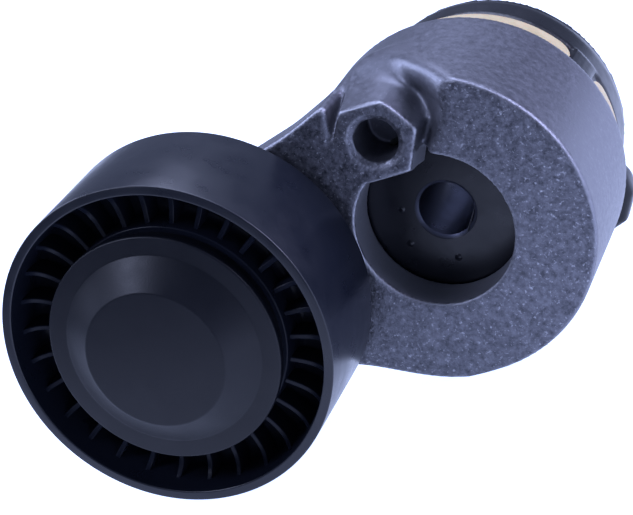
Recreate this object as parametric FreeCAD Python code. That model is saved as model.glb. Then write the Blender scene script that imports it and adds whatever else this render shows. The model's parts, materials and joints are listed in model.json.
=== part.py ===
import FreeCAD, Part
import math
import os

# Belt tensioner idler: a smooth pulley on a sprung swing arm that turns on a round base.
#
# Frame: +Z up, the front faces -Y, and the origin is on the pivot axis at the base's mounting face.
# A station is a distance forward of that face, so a point's y is minus its station.
# Every piece is drawn with the arm lying along -X. At the end all of them turn by rest_tilt about
# the pivot, so that the drum and the pulley touch the same level surface.
# Round pieces are stacked from the pivot outwards, so a thicker piece moves all that lies outside it.

# ---- driving dimensions, millimetres and degrees ----

# pivot, from the axis outwards
bolt_hole_radius = 5.5
post_radius = 16.0
post_spigot_radius = 11.0
bush_wall = 0.96
hub_wall = 2.4
spring_width = 3.9
cup_wall = 2.6
friction_wall = 1.05
skirt_wall = 2.4
drum_draft = 0.35

# pivot, from the mounting face forwards
pad_height = 2.0
pad_radius = 17.0
floor_thickness = 4.0
flange_length = 11.0
friction_exposed = 12.3
drum_depth = 33.7
front_wall = 12.5
pivot_face_depth = 9.8
cup_engagement = 8.0
spring_turns = 4.5
spring_turn_gap = 1.0
seat_thickness = 1.5
stop_height = 3.5
stop_wall = 2.0
stop_lug_angle = -90.0
stop_lug_width = 30.0
stop_gap_angle = 1.0
travel = 60.0

# base
flange_lip = 0.4
flange_round = 2.0
key_count = 4
key_angle = 13.0
key_setback = 1.0
first_key_angle = 24.5
dowel_radius = 3.0
dowel_projection = 6.0
dowel_press_step = 0.25
dowel_beyond_flange = 1.4
dowel_angle = -49.0
dowel_cover = 1.5
ear_thickness = 7.0
ear_outline = [(-4.0, -24.0), (2.5, -35.0), (4.8, -40.0), (6.6, -51.0), (5.6, -57.5), (-4.0, -68.0)]

# snap lip of the friction ring
lip_height = 0.8
lip_width = 2.0

# arm
arm_length = 46.3
arm_thickness = 9.0
arm_end_radius = 17.0
arm_rim = 3.0
arm_pocket_depth = 5.5
arm_side_inset = 0.15
boss_wall = 1.0
bush_inset = 1.0
recess_overlap = 0.6

# hexagon boss
hex_across_flats = 15.0
hex_corner_angle = 3.0
hex_inset = 10.2
hex_angle = 104.6
hex_overhang_height = 8.0
hex_hole_radius = 4.33
hex_hole_depth = 10.5
hex_step_radius = 5.2
hex_step_depth = 0.6
wrench_depth = 10.5
wrench_room = 6.7
wrench_collar_depth = 7.8
wrench_recess_angle = 70.0
wrench_right_angle = 12.0
wrench_outer_angles = (42.0, 122.0)
wrench_left_room = 2.3
wrench_left_angle = 131.0
wrench_close_room = 0.2
wrench_close_angle = 178.0
hex_pad_room = 3.1
hex_pad_length = 11.5

# pulley
pulley_diameter = 65.0
pulley_width = 26.4
pulley_gap = 3.5
rim_wall = 1.9
rim_chamfer = 0.4
wheel_hub_wall = 2.5
wheel_hub_length = 16.8
web_thickness = 4.0
rib_count = 30
rib_thickness = 1.3
rib_setback = 2.6
rib_phase = 10.0
wheel_lip = 1.4
wheel_lip_length = 1.0

# ball bearing
bearing_bore_radius = 8.5
bearing_radius = 20.0
bearing_width = 12.0
ball_radius = 3.37
ball_count = 8
shoulder_gap = 4.4
seal_thickness = 1.0
seal_inset = 0.3
cage_width = 2.2
cage_half_height = 4.1
rivet_radius = 0.6
rivet_head_radius = 0.95
rivet_head_height = 0.25

# pulley bolt, washer and shield
bolt_radius = 4.0
bolt_depth_in_arm = 2.0
bolt_flange_radius = 9.0
bolt_flange_height = 1.5
bolt_head_across_flats = 13.0
bolt_head_height = 5.3
washer_radius = 11.0
washer_thickness = 1.5
spigot_setback = 0.5
shield_thickness = 0.8
shield_dish = 0.5

# dust cap
cap_proud = 0.5
cap_overhang = 2.77
cap_ring_width = 3.6
cap_disc_radius = 13.6
cap_disc_rise = 4.45
cap_wall = 1.85
cap_skirt_length = 2.8
cap_snap_length = 3.6
cap_snap_wall = 1.35

# clearances
running_fit = 0.05
skirt_fit = 0.08
spring_gap = 0.5
side_gap = 0.3
axial_gap = 0.4
moving_gap = 0.45

# how far a cutting shape runs past a face, and how far two joined shapes overlap
overrun = 1.0
overlap = 0.5

# ---- sizes worked out from them ----

bush_inner = post_radius + running_fit
hub_bore = bush_inner + bush_wall
hub_radius = hub_bore + hub_wall
spring_inner = hub_radius + spring_gap
spring_outer = spring_inner + spring_width
cup_inner = spring_outer + spring_gap
cup_radius = cup_inner + cup_wall
friction_inner = cup_radius + running_fit
friction_radius = friction_inner + friction_wall
skirt_bore = friction_radius + skirt_fit
drum_radius = skirt_bore + skirt_wall
drum_rear_radius = drum_radius + drum_draft
flange_radius = cup_radius + flange_lip
recess_radius = post_radius - recess_overlap

floor_station = pad_height + floor_thickness
flange_station = pad_height + flange_length
drum_rear_station = flange_station + friction_exposed
face_station = drum_rear_station + drum_depth
post_station = face_station - pivot_face_depth
shoulder_station = post_station + side_gap
chamber_station = face_station - front_wall
cup_station = drum_rear_station + cup_engagement
chamber_radius = skirt_bore - lip_height
skirt_station = cup_station + axial_gap
hub_rear_station = floor_station + stop_height + axial_gap
spring_rear_station = floor_station + seat_thickness + side_gap
spring_front_station = chamber_station - seat_thickness - side_gap
spring_room = spring_front_station - spring_rear_station
spring_height = (spring_room - spring_turn_gap * spring_turns) / (spring_turns + 1)
spring_pitch = spring_height + spring_turn_gap
dowel_shank_radius = dowel_radius + dowel_press_step
dowel_end_station = pad_height + ear_thickness - dowel_cover

pulley_radius = pulley_diameter / 2
pulley_rear_station = face_station + pulley_gap
pulley_front_station = pulley_rear_station + pulley_width
pulley_mid_station = (pulley_rear_station + pulley_front_station) / 2
bearing_rear_station = pulley_mid_station - bearing_width / 2
bearing_front_station = pulley_mid_station + bearing_width / 2
pitch_radius = (bearing_bore_radius + bearing_radius) / 2
inner_shoulder = pitch_radius - shoulder_gap / 2
outer_shoulder = pitch_radius + shoulder_gap / 2
rim_inner = pulley_radius - rim_wall
wheel_hub_radius = bearing_radius + wheel_hub_wall
wheel_lip_inner = bearing_radius - wheel_lip
cap_radius = bearing_radius + cap_overhang
cap_snap_radius = cap_radius - cap_overhang / 2 + running_fit
hex_radius = hex_across_flats / math.sqrt(3)
rest_tilt = math.degrees(math.asin((pulley_radius - drum_rear_radius) / arm_length))

pivot = (0.0, 0.0)
pulley_axis = (-arm_length, 0.0)


# ---- helpers ----

def polar(centre, radius, angle):
    """Point at a radius and an angle in degrees from a centre, as (across, up)."""
    turn = math.radians(angle)
    return (centre[0] + radius * math.cos(turn), centre[1] + radius * math.sin(turn))


def at(point, station):
    """Vector of an (across, up) point at a station."""
    return FreeCAD.Vector(point[0], -station, point[1])


def turned(profile, centre=pivot):
    """Solid of revolution about a centre, from (radius, station) corners."""
    corners = [at((centre[0] + radius, centre[1]), station) for radius, station in profile]
    face = Part.Face(Part.makePolygon(corners + corners[:1]))
    return face.revolve(at(centre, 0), FreeCAD.Vector(0, 1, 0), 360)


def tube(inner, outer, start, end, centre=pivot):
    """Ring between two radii and two stations."""
    return turned([(inner, start), (outer, start), (outer, end), (inner, end)], centre)


def disc(radius, start, end, centre=pivot):
    """Cylinder between two stations."""
    return Part.makeCylinder(radius, end - start, at(centre, start), FreeCAD.Vector(0, -1, 0))


def prism(outline, start, end):
    """Straight block with an (across, up) outline, between two stations."""
    corners = [at(point, start) for point in outline]
    face = Part.Face(Part.makePolygon(corners + corners[:1]))
    return face.extrude(FreeCAD.Vector(0, start - end, 0))


def sector(inner, outer, start, end, first_angle, last_angle, centre=pivot):
    """Part of a ring between two angles, counter-clockwise seen from the front."""
    corners = [at((centre[0] + radius, centre[1]), station)
               for radius, station in [(inner, start), (outer, start), (outer, end), (inner, end)]]
    face = Part.Face(Part.makePolygon(corners + corners[:1]))
    face.rotate(at(centre, 0), FreeCAD.Vector(0, -1, 0), first_angle)
    return face.revolve(at(centre, 0), FreeCAD.Vector(0, -1, 0), last_angle - first_angle)


def hexagon(centre, across_flats, corner_angle):
    """Corners of a hexagon."""
    return [polar(centre, across_flats / math.sqrt(3), corner_angle + 60 * i) for i in range(6)]


def joined(shapes):
    """One solid from several that overlap or touch."""
    return shapes[0].multiFuse(shapes[1:]).removeSplitter()


# ---- base ----

def make_base_cup():
    """Round cup with the mounting pad behind, keys round its wall and an ear with the dowel hole."""
    rear_round = [polar((flange_radius - flange_round, pad_height + flange_round), flange_round, angle)
                  for angle in (-90, -60, -30, 0)]
    cup = turned([(post_spigot_radius, 0), (pad_radius, 0), (pad_radius, pad_height)] + rear_round
                 + [(flange_radius, flange_station), (cup_radius, flange_station),
                    (cup_radius, cup_station), (cup_inner, cup_station), (cup_inner, floor_station),
                    (post_spigot_radius, floor_station)])
    keys = [sector(cup_radius - overlap, friction_radius - running_fit, flange_station - overlap,
                   drum_rear_station - key_setback,
                   first_key_angle + 360 / key_count * i - key_angle / 2,
                   first_key_angle + 360 / key_count * i + key_angle / 2) for i in range(key_count)]
    ear = prism([polar(pivot, flange_radius + beyond, angle) for beyond, angle in ear_outline],
                pad_height, pad_height + ear_thickness)
    ear = ear.cut(disc(cup_inner, floor_station, flange_station))
    free_side = stop_lug_angle + stop_lug_width / 2 + stop_gap_angle
    loaded_side = stop_lug_angle - stop_lug_width / 2 - stop_gap_angle - travel
    stop_ring = sector(hub_radius - stop_wall, hub_radius, floor_station - overlap,
                       floor_station + stop_height,
                       free_side, 360 + loaded_side)
    cup = joined([cup, ear, stop_ring] + keys)
    return cup.cut(disc(dowel_shank_radius, 0, dowel_end_station, dowel_centre))


def make_locating_pin():
    """Dowel whose thicker shank is pressed into the ear."""
    return turned([(0, -dowel_projection), (dowel_radius, -dowel_projection), (dowel_radius, pad_height),
                   (dowel_shank_radius, pad_height), (dowel_shank_radius, dowel_end_station),
                   (0, dowel_end_station)], dowel_centre)


def make_pivot_post():
    """Post that the hub turns on, with the hole for the mounting bolt and a spigot through the base."""
    return turned([(bolt_hole_radius, 0), (post_spigot_radius, 0), (post_spigot_radius, floor_station),
                   (post_radius, floor_station), (post_radius, post_station),
                   (bolt_hole_radius, post_station)])


def make_friction_ring():
    """Sleeve between the cup and the drum's skirt, slotted for the keys, with a snap lip."""
    lip_start = cup_station - lip_width - axial_gap
    ring = turned([(friction_inner, flange_station), (friction_radius, flange_station),
                   (friction_radius, lip_start), (friction_radius + lip_height, lip_start),
                   (friction_radius + lip_height, lip_start + lip_width),
                   (friction_radius, lip_start + lip_width), (friction_radius, cup_station),
                   (friction_inner, cup_station)])
    slack = math.degrees(side_gap / friction_radius)
    for i in range(key_count):
        middle = first_key_angle + 360 / key_count * i
        ring = ring.cut(sector(friction_inner - overrun, friction_radius + overrun,
                               flange_station - overrun, drum_rear_station - key_setback + side_gap,
                               middle - key_angle / 2 - slack,
                               middle + key_angle / 2 + slack))
    return ring


def make_torsion_spring():
    """Flat-wire coil between the two spring seats."""
    height = spring_pitch * spring_turns
    radius = (spring_inner + spring_outer) / 2
    helix = Part.makeHelix(spring_pitch, height, radius)
    inner = spring_inner + side_gap / 2
    outer = spring_outer - side_gap / 2
    corners = [FreeCAD.Vector(inner, 0, 0), FreeCAD.Vector(outer, 0, 0),
               FreeCAD.Vector(outer, 0, spring_height), FreeCAD.Vector(inner, 0, spring_height)]
    section = Part.makePolygon(corners + corners[:1])
    sweep = Part.BRepOffsetAPI.MakePipeShell(Part.Wire(helix))
    sweep.setAuxiliarySpine(Part.Wire(Part.makeHelix(spring_pitch, height, radius * 2)), False, 0)
    sweep.add(section)
    sweep.build()
    sweep.makeSolid()
    spring = sweep.shape()
    spring.translate(FreeCAD.Vector(0, 0, spring_rear_station))
    spring.rotate(FreeCAD.Vector(0, 0, 0), FreeCAD.Vector(1, 0, 0), 90)
    return spring


# ---- arm ----

def arm_outline(drum, end):
    """Corners of the arm between the drum and the pulley boss, along the lines tangent to both circles."""
    tangent_angle = math.degrees(math.acos((drum - end) / arm_length))
    upper = 180 - tangent_angle
    return [polar(pivot, drum, upper), polar(pulley_axis, end, upper),
            polar(pulley_axis, end, -upper), polar(pivot, drum, -upper)]


def wrench_pocket():
    """Room for a socket round the hexagon, open to the recess and to the outside of the drum."""
    outline = [polar(pivot, recess_radius - overrun, wrench_recess_angle),
               polar(hex_centre, hex_radius + wrench_room, wrench_right_angle),
               polar(hex_centre, drum_rear_radius, wrench_outer_angles[0]),
               polar(hex_centre, drum_rear_radius, wrench_outer_angles[1]),
               polar(hex_centre, hex_radius + wrench_left_room, wrench_left_angle),
               polar(hex_centre, hex_radius + wrench_close_room, wrench_close_angle), hex_centre]
    collar = disc(hub_bore + boss_wall, face_station - wrench_depth - overrun,
                  face_station - wrench_collar_depth)
    return prism(outline, face_station - wrench_depth, face_station + overrun).cut(collar)


def make_arm_casting():
    """Drum, hub, arm, hexagon boss and pulley boss in one casting."""
    drum = turned([(0, drum_rear_station), (drum_rear_radius, drum_rear_station),
                   (drum_radius, face_station), (0, face_station)])
    arm_start = face_station - arm_thickness
    plate = prism(arm_outline(drum_radius - arm_side_inset, arm_end_radius), arm_start, face_station)
    arm_end = disc(arm_end_radius, arm_start, face_station, pulley_axis)
    wrench_floor = face_station - wrench_depth
    hex_pad = disc(hex_radius + hex_pad_room, wrench_floor - hex_pad_length, wrench_floor + overlap,
                   hex_centre)
    outer = joined([drum, plate, arm_end, hex_pad])

    pocket = prism(arm_outline(drum_radius - arm_rim, arm_end_radius - arm_rim), arm_start - overrun,
                   arm_start + arm_pocket_depth)
    pocket = pocket.cut(disc(drum_rear_radius, arm_start - 2 * overrun, face_station, pivot))
    pocket = pocket.cut(disc(inner_shoulder + boss_wall, arm_start - 2 * overrun, face_station, pulley_axis))
    spine = [(-arm_length, -arm_rim / 2), (0, -arm_rim / 2), (0, arm_rim / 2), (-arm_length, arm_rim / 2)]
    pocket = pocket.cut(prism(spine, arm_start - 2 * overrun, face_station))
    chamber = turned([(0, drum_rear_station - overrun), (skirt_bore, drum_rear_station - overrun),
                      (skirt_bore, skirt_station), (chamber_radius, skirt_station),
                      (chamber_radius, chamber_station), (0, chamber_station)])
    groove_start = cup_station - lip_width - axial_gap - side_gap
    groove = disc(friction_radius + lip_height + side_gap, groove_start,
                  groove_start + lip_width + 2 * side_gap)
    body = outer.cut(pocket).cut(chamber).cut(groove)

    hub = disc(hub_radius, hub_rear_station, face_station - front_wall / 2)
    stop_lug = sector(hub_bore - overlap, hub_radius, floor_station + 2 * side_gap,
                      hub_rear_station + overlap, stop_lug_angle - stop_lug_width / 2,
                      stop_lug_angle + stop_lug_width / 2)
    bore = disc(hub_bore, 0, shoulder_station)
    recess = disc(recess_radius, shoulder_station - overrun, face_station + overrun)
    body = joined([body, hub, stop_lug]).cut(bore).cut(recess).cut(wrench_pocket())

    outline = hexagon(hex_centre, hex_across_flats, hex_corner_angle)
    boss = prism(outline, face_station - hex_overhang_height, face_station)
    foot = prism(outline, chamber_station + overrun, face_station)
    foot = foot.cut(disc(recess_radius, 0, face_station + overrun)).cut(bore)
    pulley_boss = disc(inner_shoulder, arm_start, boss_station, pulley_axis)
    spigot = disc(bearing_bore_radius, arm_start, bearing_front_station - spigot_setback, pulley_axis)
    body = joined([body, boss, foot, pulley_boss, spigot])

    hex_hole = disc(hex_hole_radius, face_station - hex_hole_depth, face_station + overrun, hex_centre)
    hex_step = disc(hex_step_radius, face_station - hex_step_depth, face_station + overrun, hex_centre)
    bolt_hole = disc(bolt_radius, face_station - bolt_depth_in_arm, bearing_front_station + overrun,
                     pulley_axis)
    return body.cut(hex_hole).cut(hex_step).cut(bolt_hole)


def make_pulley_bolt():
    """Flanged hexagon bolt, screwed into the arm's spigot."""
    seat = bearing_front_station + washer_thickness
    flange_top = seat + bolt_flange_height
    head = prism(hexagon(pulley_axis, bolt_head_across_flats, 0), flange_top - overlap,
                 flange_top + bolt_head_height)
    return joined([disc(bolt_radius, face_station - bolt_depth_in_arm, seat + overlap, pulley_axis),
                   disc(bolt_flange_radius, seat, flange_top, pulley_axis), head])


def make_rear_dust_shield():
    """Dished washer between the pulley boss and the bearing's inner ring."""
    edge = wheel_lip_inner - axial_gap
    bend = inner_shoulder + shield_dish
    dished = boss_station - shield_dish
    return turned([(bearing_bore_radius, boss_station), (inner_shoulder, boss_station), (bend, dished),
                   (edge, dished), (edge, dished + shield_thickness), (bend, dished + shield_thickness),
                   (inner_shoulder, bearing_rear_station), (bearing_bore_radius, bearing_rear_station)],
                  pulley_axis)


# ---- pulley ----

def make_pulley_wheel():
    """Rim, web and hub of the pulley, with ribs on both sides of the web."""
    hub_rear = pulley_mid_station - wheel_hub_length / 2
    hub_front = pulley_mid_station + wheel_hub_length / 2
    rim = turned([(rim_inner, pulley_rear_station), (pulley_radius - rim_chamfer, pulley_rear_station),
                  (pulley_radius, pulley_rear_station + rim_chamfer),
                  (pulley_radius, pulley_front_station - rim_chamfer),
                  (pulley_radius - rim_chamfer, pulley_front_station), (rim_inner, pulley_front_station)],
                 pulley_axis)
    hub = turned([(wheel_lip_inner, hub_rear), (wheel_hub_radius, hub_rear), (wheel_hub_radius, hub_front),
                  (cap_snap_radius, hub_front), (cap_snap_radius, bearing_front_station + wheel_lip_length),
                  (wheel_lip_inner, bearing_front_station + wheel_lip_length),
                  (wheel_lip_inner, bearing_front_station),
                  (bearing_radius, bearing_front_station), (bearing_radius, bearing_rear_station),
                  (wheel_lip_inner, bearing_rear_station)], pulley_axis)
    web = tube(wheel_hub_radius - overlap, rim_inner + overlap, pulley_mid_station - web_thickness / 2,
               pulley_mid_station + web_thickness / 2, pulley_axis)
    rib_length = rim_inner - wheel_hub_radius + 2 * overlap
    rib = Part.makeBox(rib_length, pulley_width - 2 * rib_setback, rib_thickness,
                       at((wheel_hub_radius - overlap, -rib_thickness / 2),
                          pulley_front_station - rib_setback))
    ribs = []
    for i in range(rib_count):
        vane = rib.copy()
        vane.rotate(FreeCAD.Vector(0, 0, 0), FreeCAD.Vector(0, -1, 0), rib_phase + 360 / rib_count * i)
        vane.translate(at(pulley_axis, 0))
        ribs.append(vane)
    return joined([rim, hub, web] + ribs)


def make_dust_cap():
    """Cap with a flat outer ring, a cone and a raised flat disc, snapped into the pulley's hub."""
    plane = pulley_front_station + cap_proud
    bottom = plane - cap_skirt_length
    disc_top = plane + cap_disc_rise
    ring_inner = cap_radius - cap_ring_width
    snap_inner = cap_snap_radius - running_fit - cap_snap_wall
    return turned([(0, disc_top), (cap_disc_radius, disc_top), (ring_inner, plane), (cap_radius, plane),
                   (cap_radius, bottom), (cap_snap_radius - running_fit, bottom),
                   (cap_snap_radius - running_fit, bottom - cap_snap_length),
                   (snap_inner, bottom - cap_snap_length), (snap_inner, plane - cap_wall),
                   (ring_inner - cap_wall / 2, plane - cap_wall),
                   (cap_disc_radius - cap_wall / 2, disc_top - cap_wall), (0, disc_top - cap_wall)],
                  pulley_axis)


# ---- ball bearing ----

def race_cutter():
    """Ring of round section that cuts the raceways, a running fit larger than the balls."""
    return Part.makeTorus(pitch_radius, ball_radius + running_fit, at(pulley_axis, pulley_mid_station),
                          FreeCAD.Vector(0, 1, 0))


def balls(radius):
    """Balls round the pulley axis, with their poles to the front and the rear."""
    centres = [polar(pulley_axis, pitch_radius, 360 / ball_count * i) for i in range(ball_count)]
    return [Part.makeSphere(radius, at(centre, pulley_mid_station), FreeCAD.Vector(0, 1, 0))
            for centre in centres]


def make_cage_half(side):
    """Half of the cage, front (1) or rear (-1), with its ball pockets and rivet holes."""
    near, far = sorted([pulley_mid_station, pulley_mid_station + side * cage_half_height])
    half = tube(pitch_radius - cage_width / 2, pitch_radius + cage_width / 2, near, far, pulley_axis)
    return half.cut(balls(ball_radius + running_fit) + rivets(rivet_radius, cage_half_height))


def rivets(radius, half_length):
    """Round bars through the cage, one between each two balls."""
    return [disc(radius, pulley_mid_station - half_length, pulley_mid_station + half_length,
                 polar(pulley_axis, pitch_radius, 360 / ball_count * (i + 0.5))) for i in range(ball_count)]


def make_rivets():
    """Rivets with a head at each end."""
    shanks = rivets(rivet_radius, cage_half_height + rivet_head_height)
    inside = tube(pitch_radius - cage_width, pitch_radius + cage_width, pulley_mid_station - cage_half_height,
                  pulley_mid_station + cage_half_height, pulley_axis)
    heads = [bar.cut(inside) for bar in rivets(rivet_head_radius, cage_half_height + rivet_head_height)]
    return Part.makeCompound([joined([shank, head]) for shank, head in zip(shanks, heads)])


def make_seal(side):
    """Seal between the rings, fixed in the outer ring, at the front (1) or the rear (-1)."""
    middle = pulley_mid_station + side * (bearing_width / 2 - seal_inset - seal_thickness / 2)
    return tube(inner_shoulder + moving_gap, outer_shoulder, middle - seal_thickness / 2,
                middle + seal_thickness / 2, pulley_axis)


# ---- places that more than one piece uses ----

hex_centre = polar(pivot, drum_radius - hex_inset, hex_angle)
boss_station = bearing_rear_station - shield_thickness
dowel_centre = polar(pivot, flange_radius + dowel_beyond_flange, dowel_angle)

parts = {
    "base_cup": make_base_cup(),
    "pivot_post": make_pivot_post(),
    "friction_ring": make_friction_ring(),
    "locating_pin": make_locating_pin(),
    "torsion_spring": make_torsion_spring(),
    "spring_seat_rear": tube(spring_inner, spring_outer, floor_station, floor_station + seat_thickness),
    "spring_seat_front": tube(spring_inner, spring_outer, chamber_station - seat_thickness, chamber_station),
    "arm_casting": make_arm_casting(),
    "pivot_bush": tube(bush_inner, hub_bore, hub_rear_station + bush_inset, shoulder_station - bush_inset),
    "pulley_bolt": make_pulley_bolt(),
    "clamp_washer": tube(bolt_radius, washer_radius, bearing_front_station,
                         bearing_front_station + washer_thickness, pulley_axis),
    "rear_dust_shield": make_rear_dust_shield(),
    "pulley_wheel": make_pulley_wheel(),
    "dust_cap": make_dust_cap(),
    "bearing_inner_ring": tube(bearing_bore_radius, inner_shoulder, bearing_rear_station,
                               bearing_front_station, pulley_axis).cut(race_cutter()),
    "bearing_outer_ring": tube(outer_shoulder, bearing_radius, bearing_rear_station,
                               bearing_front_station, pulley_axis).cut(race_cutter()),
    "bearing_balls": Part.makeCompound(balls(ball_radius)),
    "cage_front": make_cage_half(1),
    "cage_rear": make_cage_half(-1),
    "cage_rivets": make_rivets(),
    "bearing_seal_front": make_seal(1),
    "bearing_seal_rear": make_seal(-1),
}

os.makedirs("parts", exist_ok=True)
for name, shape in parts.items():
    shape.rotate(FreeCAD.Vector(0, 0, 0), FreeCAD.Vector(0, 1, 0), rest_tilt)
    shape.exportStep(os.path.join("parts", name + ".step"))
    box = shape.BoundBox
    print(f"{name}: {len(shape.Solids)} solid(s), valid {shape.isValid()}, volume {shape.Volume:.0f}")
    print(f"    from {box.XMin:.1f}, {box.YMin:.1f}, {box.ZMin:.1f} to {box.XMax:.1f}, {box.YMax:.1f}, "
          f"{box.ZMax:.1f}")
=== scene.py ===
"""Belt tensioner idler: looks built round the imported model.

Every surface is worked out in millimetres in the assembly's own directions (across, up, forward). The arm
lies along -across, forward is out of the front, and zero is the pivot axis at the drum's front face. Layout
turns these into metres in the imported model's frame. Turned pieces are profiles carried round an axis. Cast
pieces that are not round are distance fields, whose zero surface is meshed on a grid.
"""
import json
import logging
import math
from dataclasses import dataclass, field
from enum import Enum
from typing import Sequence

import bpy
import numpy as np
from mathutils import Matrix, Vector


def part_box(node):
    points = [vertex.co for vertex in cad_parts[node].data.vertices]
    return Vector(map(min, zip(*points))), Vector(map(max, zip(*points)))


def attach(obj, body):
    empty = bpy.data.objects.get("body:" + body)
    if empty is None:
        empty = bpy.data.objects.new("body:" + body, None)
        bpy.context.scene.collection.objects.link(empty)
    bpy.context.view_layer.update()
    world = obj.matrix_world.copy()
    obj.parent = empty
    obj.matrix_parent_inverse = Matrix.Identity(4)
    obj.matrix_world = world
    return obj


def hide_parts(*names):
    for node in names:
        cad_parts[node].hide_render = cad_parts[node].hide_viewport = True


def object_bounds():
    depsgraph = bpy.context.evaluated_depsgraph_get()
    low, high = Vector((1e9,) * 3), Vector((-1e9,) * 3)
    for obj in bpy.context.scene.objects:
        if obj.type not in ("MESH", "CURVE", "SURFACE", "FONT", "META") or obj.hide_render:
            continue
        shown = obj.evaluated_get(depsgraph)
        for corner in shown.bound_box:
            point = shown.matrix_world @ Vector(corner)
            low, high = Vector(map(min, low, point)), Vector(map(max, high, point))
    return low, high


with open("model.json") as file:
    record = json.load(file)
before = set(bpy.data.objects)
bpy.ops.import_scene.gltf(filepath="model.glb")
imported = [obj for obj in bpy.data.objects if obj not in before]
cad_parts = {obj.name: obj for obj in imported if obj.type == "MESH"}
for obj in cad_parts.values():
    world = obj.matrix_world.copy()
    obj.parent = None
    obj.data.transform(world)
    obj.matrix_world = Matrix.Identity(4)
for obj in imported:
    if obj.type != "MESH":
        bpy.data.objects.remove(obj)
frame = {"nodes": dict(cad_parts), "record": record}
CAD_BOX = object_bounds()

log = logging.getLogger("belt_tensioner")
Array = np.ndarray
MM = 0.001


# ---------------------------------------------------------------------------------------- layout

class Body(Enum):
    """The four bodies that pieces ride on."""

    BASE = "base"
    ARM = "arm"
    PULLEY = "pulley"
    CAGE = "cage"


def box_mm(node: str) -> tuple[Array, Array]:
    """Lowest and highest corner of a CAD node, in millimetres.

    Args:
        node: name of the CAD node.

    Returns:
        The two corners as arrays of x, y, z.
    """
    low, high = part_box(node)
    return np.array(low) / MM, np.array(high) / MM


@dataclass(frozen=True)
class Layout:
    """How the assembly's own directions lie in the frame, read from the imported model."""

    face: float
    arm_length: float
    tilt: float
    pulley_rear: float
    pulley_front: float
    pulley_radius: float

    @staticmethod
    def read(pivot_face_depth: float = 9.8) -> "Layout":
        """Reads the layout from the boxes of the post, the outer ring and the pulley.

        Args:
            pivot_face_depth: depth of the post's face behind the drum's front face.

        Returns:
            The layout.
        """
        post_low, _ = box_mm("pivot_post")
        ring_low, ring_high = box_mm("bearing_outer_ring")
        wheel_low, wheel_high = box_mm("pulley_wheel")
        middle = (ring_low + ring_high) / 2
        face = -post_low[1] + pivot_face_depth
        return Layout(face=face, arm_length=math.hypot(middle[0], middle[2]),
                      tilt=math.atan2(middle[2], -middle[0]), pulley_rear=-wheel_high[1] - face,
                      pulley_front=-wheel_low[1] - face, pulley_radius=(wheel_high[2] - wheel_low[2]) / 2)

    def world(self, points: Array) -> Array:
        """Turns (across, up, forward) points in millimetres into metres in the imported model's frame.

        Args:
            points: n by 3 array.

        Returns:
            n by 3 array of x, y, z.
        """
        across, up, forward = np.asarray(points, float).T
        cosine, sine = math.cos(self.tilt), math.sin(self.tilt)
        return np.column_stack([across * cosine + up * sine, -(self.face + forward),
                                up * cosine - across * sine]) * MM


LAYOUT = Layout.read()
PIVOT = (0.0, 0.0)
PULLEY = (-LAYOUT.arm_length, 0.0)


# ---------------------------------------------------------------------------------------- mesh tools

@dataclass
class Mesh:
    """Points in the assembly's directions and the faces between them."""

    points: Array
    faces: Array
    attributes: dict[str, Array] = field(default_factory=dict)

    def joined(self, *others: "Mesh") -> "Mesh":
        """One mesh that holds this one and the others, each still a closed shell of its own.

        Args:
            others: meshes to join to this one.

        Returns:
            The mesh, without attributes.
        """
        parts = [self, *others]
        starts = np.cumsum([0] + [len(part.points) for part in parts[:-1]])
        return Mesh(np.vstack([part.points for part in parts]),
                    np.vstack([part.faces + start for part, start in zip(parts, starts)]))

    def object(self, name: str, smooth_angle: float = 32.0) -> bpy.types.Object:
        """Makes the Blender object.

        Args:
            name: object name.
            smooth_angle: edges sharper than this many degrees stay sharp.

        Returns:
            The object, linked to the scene, at the origin.
        """
        mesh = bpy.data.meshes.new(name)
        mesh.from_pydata(LAYOUT.world(self.points).tolist(), [], self.faces.tolist())
        for key, values in self.attributes.items():
            mesh.attributes.new(key, "FLOAT", "POINT").data.foreach_set("value", values.astype(np.float32))
        mesh.shade_smooth()
        mesh.set_sharp_from_angle(angle=math.radians(smooth_angle))
        mesh.update()
        made = bpy.data.objects.new(name, mesh)
        bpy.context.scene.collection.objects.link(made)
        return made


def rounded_profile(corners: Sequence[tuple[float, float, float]], steps: int = 5) -> Array:
    """Closed profile whose corners are rounded.

    Each corner's arc touches both of its edges: it starts and ends at the radius times the cotangent of half
    the corner's angle from the corner, and its points lie on a circle whose centre is on the corner's
    bisector.

    Args:
        corners: (radius, forward, rounding) of each corner in order.
        steps: arc divisions at a rounded corner.

    Returns:
        m by 2 array of (radius, forward).
    """
    table = np.asarray(corners, float)
    here, rounding = table[:, :2], table[:, 2:]
    back = np.roll(here, 1, axis=0) - here
    ahead = np.roll(here, -1, axis=0) - here
    back /= np.linalg.norm(back, axis=1, keepdims=True)
    ahead /= np.linalg.norm(ahead, axis=1, keepdims=True)
    half = np.arccos(np.clip((back * ahead).sum(1, keepdims=True), -1, 1)) / 2
    bisector = (back + ahead) / np.maximum(np.linalg.norm(back + ahead, axis=1, keepdims=True), 1e-9)
    centre = here + bisector * rounding / np.maximum(np.sin(half), 1e-6)
    first = here + back * rounding / np.maximum(np.tan(half), 1e-6) - centre
    last = here + ahead * rounding / np.maximum(np.tan(half), 1e-6) - centre
    part = np.linspace(0, 1, steps + 1)[None, :, None]
    sweep = np.pi - 2 * half[:, None, :]
    blend = (np.sin((1 - part) * sweep) * first[:, None, :] + np.sin(part * sweep) * last[:, None, :])
    arc = centre[:, None, :] + blend / np.maximum(np.sin(sweep), 1e-6)
    sharp = (rounding[:, 0] < 1e-6)[:, None, None]
    points = np.where(sharp, here[:, None, :], arc).reshape(-1, 2)
    keep = np.linalg.norm(points - np.roll(points, 1, axis=0), axis=1) > 1e-5
    return points[keep]


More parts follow.
